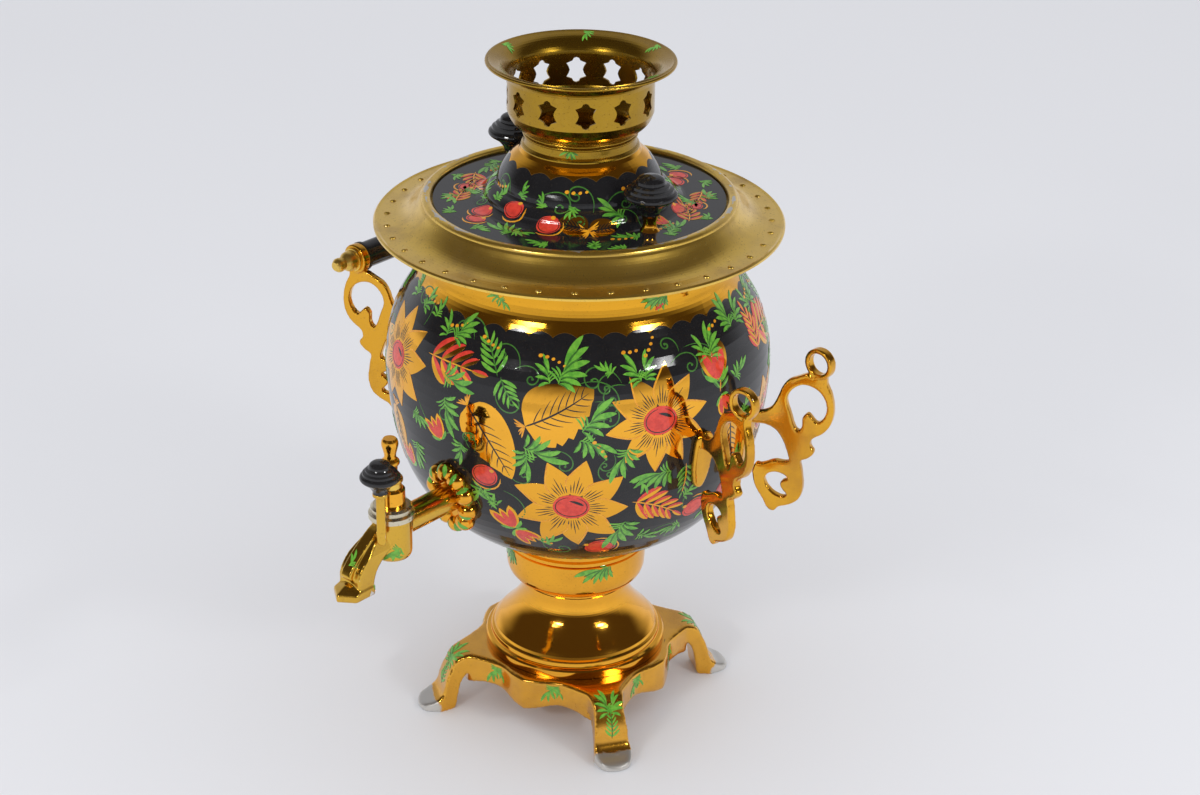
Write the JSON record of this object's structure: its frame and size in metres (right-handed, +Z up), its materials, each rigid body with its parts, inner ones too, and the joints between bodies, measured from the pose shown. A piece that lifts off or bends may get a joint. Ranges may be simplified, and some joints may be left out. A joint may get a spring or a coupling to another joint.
{
  "type": "samovar",
  "caption": "Electric samovar: round painted urn on a footed cast base, with a pierced crown on a lift-off lid, a rotary tap and openwork handle brackets.",
  "frame": {"origin": "on the urn's vertical axis, at the surface that the base stands on", "axes": "+Z up; the tap points along -Y; the handles lie on the X axis, with the grip on -X"},
  "size_m": [0.2942, 0.3029, 0.3801],
  "materials": {
    "gold_metal": "polished, gold lacquered, worn at its edges",
    "old_brass": "polished, tarnished and speckled",
    "painted_lacquer": "gloss black lacquer with folk flower painting",
    "black_plastic": "gloss",
    "worn_steel": "worn nickel plate",
    "rubber_seal": "matt"
  },
  "bodies": {
    "urn": {"base_casting": "gold_metal", "base_washer": "worn_steel", "base_nut": "worn_steel", "tie_rod": "worn_steel", "tie_gasket": "rubber_seal", "tie_head_nut": "worn_steel", "pedestal_foot": "gold_metal", "pedestal_cup": "gold_metal", "urn_shell": "painted_lacquer", "dish_collar": "old_brass", "bracket_left_front": "gold_metal", "bracket_left_back": "gold_metal", "bracket_right_front": "gold_metal", "bracket_right_back": "gold_metal", "bracket_nuts": "worn_steel", "grip": "black_plastic", "grip_ferrules": "black_plastic", "grip_rod": "worn_steel", "grip_bushes": "old_brass", "grip_acorn_nuts": "old_brass", "tap_body": "gold_metal", "tap_rosette": "gold_metal", "tap_gasket": "rubber_seal", "tap_backnut": "worn_steel", "tap_bonnet": "worn_steel", "tap_gland": "gold_metal", "tap_packing": "rubber_seal", "heater_tube": "worn_steel", "heater_flange": "worn_steel", "heater_gasket": "rubber_seal", "heater_backnut": "worn_steel", "inlet_shroud": "black_plastic", "inlet_pins": "worn_steel"},
    "lid": {"lid_shell": "painted_lacquer", "crown": "gold_metal", "crown_bolt": "worn_steel", "crown_nut": "worn_steel", "lid_knob_front": "black_plastic", "lid_knob_back": "black_plastic", "lid_knob_stems": "gold_metal", "lid_knob_nuts": "worn_steel"},
    "tap_key": {"tap_plug": "old_brass", "tap_lever": "gold_metal", "tap_knob": "black_plastic", "tap_knob_rivet": "worn_steel", "tap_finial": "gold_metal"}
  },
  "joints": [
    {"name": "lid_lift", "type": "slide", "parent": "urn", "child": "lid", "axis": [0, 0, 1], "range_m": [0, 0.12]},
    {"name": "tap_turn", "type": "hinge", "parent": "urn", "child": "tap_key", "pos_m": [0, -0.1435, 0.1637], "axis": [0, 0, 1], "range_deg": [0, 90]}
  ]
}
